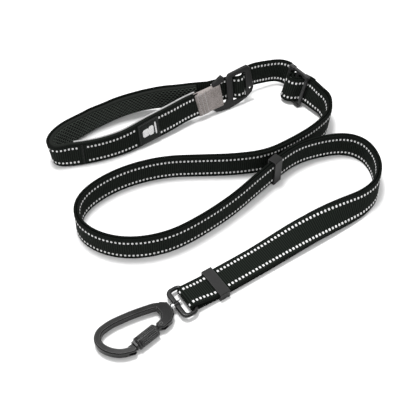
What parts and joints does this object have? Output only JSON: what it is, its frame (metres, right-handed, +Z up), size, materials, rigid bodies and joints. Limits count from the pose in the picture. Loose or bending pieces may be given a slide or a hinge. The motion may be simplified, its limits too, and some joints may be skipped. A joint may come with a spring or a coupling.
{
  "type": "training leash",
  "caption": "Doubled reflective webbing training leash with padded quick-release handle, slider, keepers and swivel twist-lock carabiner.",
  "frame": {"origin": "centre of the footprint of the handle and metal parts, on the surface the leash lies on", "axes": "+Z up, out of the surface; +Y runs from the carabiner's side of the coil towards the handle; +X to the right"},
  "size_m": [0.2984, 0.3156, 0.0411],
  "materials": {
    "webbing": "woven nylon with grey reflective stitches",
    "padding": "soft foam under cloth",
    "mesh_lining": "open air mesh",
    "binding": "light grey piping",
    "label": "blank woven patch",
    "tab_cloth": "brushed warm grey cloth",
    "buckle_metal": "matt charcoal",
    "slider_plastic": "moulded black",
    "keeper_metal": "satin dark grey",
    "eye_metal": "satin black",
    "bright_steel": "turned steel",
    "clip_metal": "gunmetal anodised",
    "stop_plastic": "moulded black"
  },
  "bodies": {
    "lead": {"lead_running_ply": "webbing", "lead_return_ply": "webbing", "handle_webbing": "webbing", "handle_foam": "padding", "handle_mesh_lining": "mesh_lining", "handle_edge_binding": "binding", "label_patch": "label", "release_buckle": "buckle_metal", "tab_cover": "tab_cloth", "tab_seam": "tab_cloth", "slider_frame": "slider_plastic"},
    "near_loop": {"near_keeper": "keeper_metal"},
    "far_loop": {"far_keeper": "keeper_metal"},
    "eye": {"swivel_eye": "eye_metal"},
    "carabiner": {"carabiner_body": "clip_metal", "swivel_pin": "bright_steel", "swivel_washer": "bright_steel", "gate_pivot_pin": "bright_steel"},
    "gate_arm": {"gate": "clip_metal", "gate_spring": "bright_steel", "gate_stop_block": "stop_plastic", "sleeve_spring": "bright_steel", "sleeve_guide_pin": "bright_steel"},
    "sleeve": {"lock_sleeve": "clip_metal"}
  },
  "joints": [
    {"name": "near_keeper_slide", "type": "slide", "parent": "lead", "child": "near_loop", "axis": [0.832, 0.5548, 0], "range_m": [-0.003, 0.025]},
    {"name": "far_keeper_slide", "type": "slide", "parent": "lead", "child": "far_loop", "axis": [-0.6834, -0.73, 0], "range_m": [-0.003, 0.012]},
    {"name": "eye_swing", "type": "hinge", "parent": "lead", "child": "eye", "pos_m": [0.0079, -0.09861, 0.0054], "axis": [-0.5548, 0.832, 0], "range_deg": [0, 75]},
    {"name": "carabiner_swivel", "type": "hinge", "parent": "eye", "child": "carabiner", "pos_m": [-0.00192, -0.10515, 0.0054], "axis": [-0.832, -0.5548, 0], "continuous": true},
    {"name": "gate_swing", "type": "hinge", "parent": "carabiner", "child": "gate_arm", "pos_m": [-0.01337, -0.12416, 0.0054], "axis": [0, 0, -1], "range_deg": [0, 25], "stiffness_Nm_per_rad": 0.06, "springref_deg": -14.32},
    {"name": "sleeve_twist", "type": "hinge", "parent": "gate_arm", "child": "sleeve", "pos_m": [-0.02445, -0.13457, 0.0054], "axis": [-0.7287, -0.6849, 0], "range_deg": [0, 80], "stiffness_Nm_per_rad": 0.01, "springref_deg": -17.19}
  ]
}
